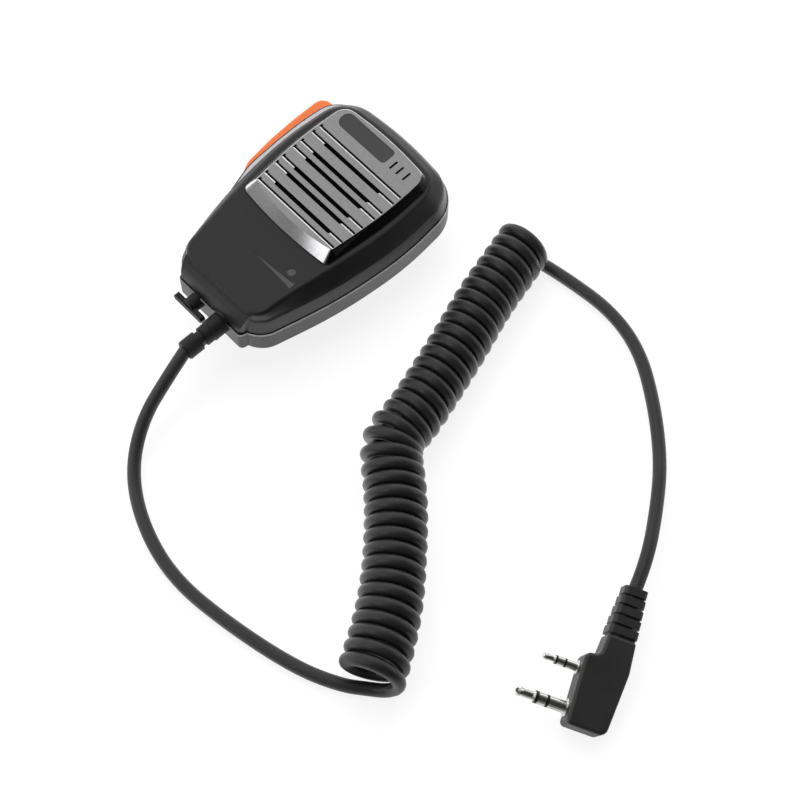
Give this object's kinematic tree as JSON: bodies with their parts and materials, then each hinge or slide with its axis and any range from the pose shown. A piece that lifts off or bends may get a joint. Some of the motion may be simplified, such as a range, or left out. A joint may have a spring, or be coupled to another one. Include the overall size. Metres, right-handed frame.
{
  "type": "hand microphone",
  "caption": "hand speaker-microphone with slotted grille, side push-to-talk key, swivel belt clip, capped earphone jack and a curly cord to a two-pin plug",
  "frame": {"origin": "on the flat outer face of the belt clip, which the microphone rests on, under the clip's swivel axis", "axes": "+X right seen from the front, +Y towards the speaker end, +Z out of the front face"},
  "size_m": [0.1945, 0.1532, 0.0322],
  "materials": {
    "front_shell": "satin moulded ABS with a fine spark texture",
    "rear_shell": "satin moulded ABS",
    "grille_metallised": "gunmetal metallised plastic, fine grain on the face",
    "badge_dark": "smooth dark plate, bare",
    "speaker_cloth": "black dust cloth",
    "key_orange": "satin orange ABS",
    "clip_black": "glass-filled nylon",
    "rubber_black": "soft moulded rubber",
    "cord_jacket": "satin polyurethane jacket",
    "plug_moulding": "satin over-moulded PVC",
    "pin_nickel": "bright nickel plate",
    "pin_insulation": "black insulating ring",
    "steel_zinc": "zinc-plated or spring steel",
    "magnet_black": "ferrite magnet in a plated cup",
    "cone_paper": "coated paper cone",
    "capsule_can": "plain can",
    "board_green": "solder mask",
    "component_black": "moulded packages",
    "plunger_white": "switch plunger"
  },
  "bodies": {
    "root": {"front_housing": "front_shell", "rear_cover": "rear_shell", "speaker_grille": "grille_metallised", "badge_plate": "badge_dark", "grille_cloth": "speaker_cloth", "mic_screen": "speaker_cloth", "cord_strain_relief": "rubber_black", "mic_boot": "rubber_black", "speaker_gasket": "rubber_black", "cord_lead_mic": "cord_jacket", "cord_coil": "cord_jacket", "cord_lead_plug": "cord_jacket", "plug_body": "plug_moulding", "plug_strain_relief": "plug_moulding", "large_pin_sleeve": "pin_nickel", "large_pin_ring": "pin_nickel", "large_pin_tip": "pin_nickel", "small_pin_sleeve": "pin_nickel", "small_pin_ring": "pin_nickel", "small_pin_tip": "pin_nickel", "large_pin_insulators": "pin_insulation", "small_pin_insulators": "pin_insulation", "housing_screws": "steel_zinc", "board_screws": "steel_zinc", "clip_swivel_screw": "steel_zinc", "ptt_pivot_pin": "steel_zinc", "speaker_frame": "steel_zinc", "speaker_magnet": "magnet_black", "speaker_cone": "cone_paper", "mic_capsule": "capsule_can", "circuit_board": "board_green", "board_components": "component_black", "switch_body": "component_black", "earphone_jack": "component_black"},
    "ptt_key": {"ptt_key": "key_orange"},
    "switch_plunger": {"switch_plunger": "plunger_white"},
    "clip_plate": {"clip_plate": "clip_black", "clip_hinge_pin": "steel_zinc", "clip_spring": "steel_zinc", "clip_washer": "steel_zinc"},
    "clip_jaw": {"clip_jaw": "clip_black"},
    "jack_cap": {"jack_cap": "rubber_black"}
  },
  "joints": [
    {"name": "ptt_press", "type": "hinge", "parent": "root", "child": "ptt_key", "pos_m": [-0.022, -0.0044, 0.01875], "axis": [0, 0, -1], "range_deg": [0, 1.4], "stiffness_Nm_per_rad": 2, "springref_deg": -1.72},
    {"name": "switch_travel", "type": "slide", "parent": "root", "child": "switch_plunger", "axis": [1, 0, 0], "range_m": [0, 0.0007]},
    {"name": "clip_swivel", "type": "hinge", "parent": "root", "child": "clip_plate", "pos_m": [0, 0, 0.0076], "axis": [0, 0, 1], "continuous": true},
    {"name": "clip_jaw_open", "type": "hinge", "parent": "clip_plate", "child": "clip_jaw", "pos_m": [0, 0.008, 0.0044], "axis": [1, 0, 0], "range_deg": [0, 18], "stiffness_Nm_per_rad": 0.3, "springref_deg": -34.38},
    {"name": "jack_cap_pull", "type": "slide", "parent": "root", "child": "jack_cap", "axis": [0, -1, 0], "range_m": [0, 0.03]}
  ],
  "couplings": [
    {"joint": "switch_travel", "follows": "ptt_press", "m_per_rad": 0.0264}
  ]
}
